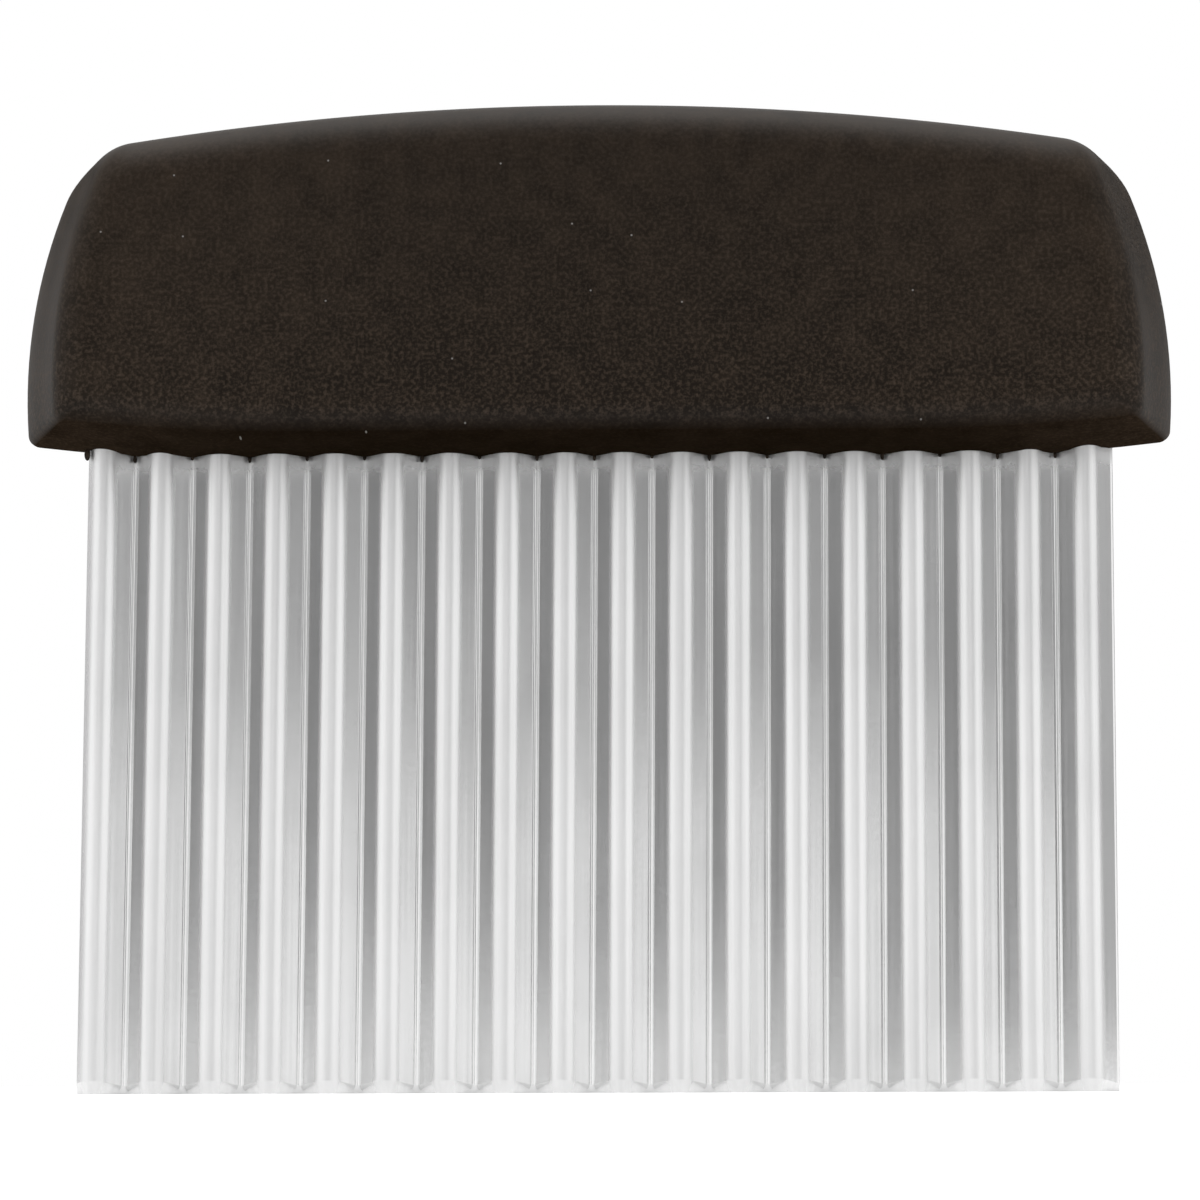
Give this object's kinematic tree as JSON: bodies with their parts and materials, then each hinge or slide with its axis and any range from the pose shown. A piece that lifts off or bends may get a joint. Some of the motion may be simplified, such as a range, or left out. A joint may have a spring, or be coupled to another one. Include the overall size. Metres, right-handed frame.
{
  "type": "crinkle cutter",
  "caption": "Hand crinkle cutter: a corrugated steel blade with a straight ground edge, its tang pinned between the two shells of a round-topped black plastic palm handle.",
  "frame": {"origin": "middle of the cutting edge, at the bottom centre of the bounding box", "axes": "+X along the blade's width, +Y from the front face to the rear face, +Z from the cutting edge up to the handle"},
  "size_m": [0.1122, 0.02, 0.0958],
  "materials": {
    "blade_steel": "rolled stainless sheet, satin, faint streaks along the corrugations, ground edge",
    "handle_plastic": "fine moulded grain, very dark brown-black",
    "pin_steel": "plain turned pin"
  },
  "bodies": {
    "root": {"blade": "blade_steel", "front_shell": "handle_plastic", "rear_shell": "handle_plastic", "tang_pin_1": "pin_steel", "tang_pin_2": "pin_steel", "tang_pin_3": "pin_steel", "tang_pin_4": "pin_steel", "tang_pin_5": "pin_steel", "closing_pin_left": "pin_steel", "closing_pin_right": "pin_steel"}
  },
  "joints": []
}
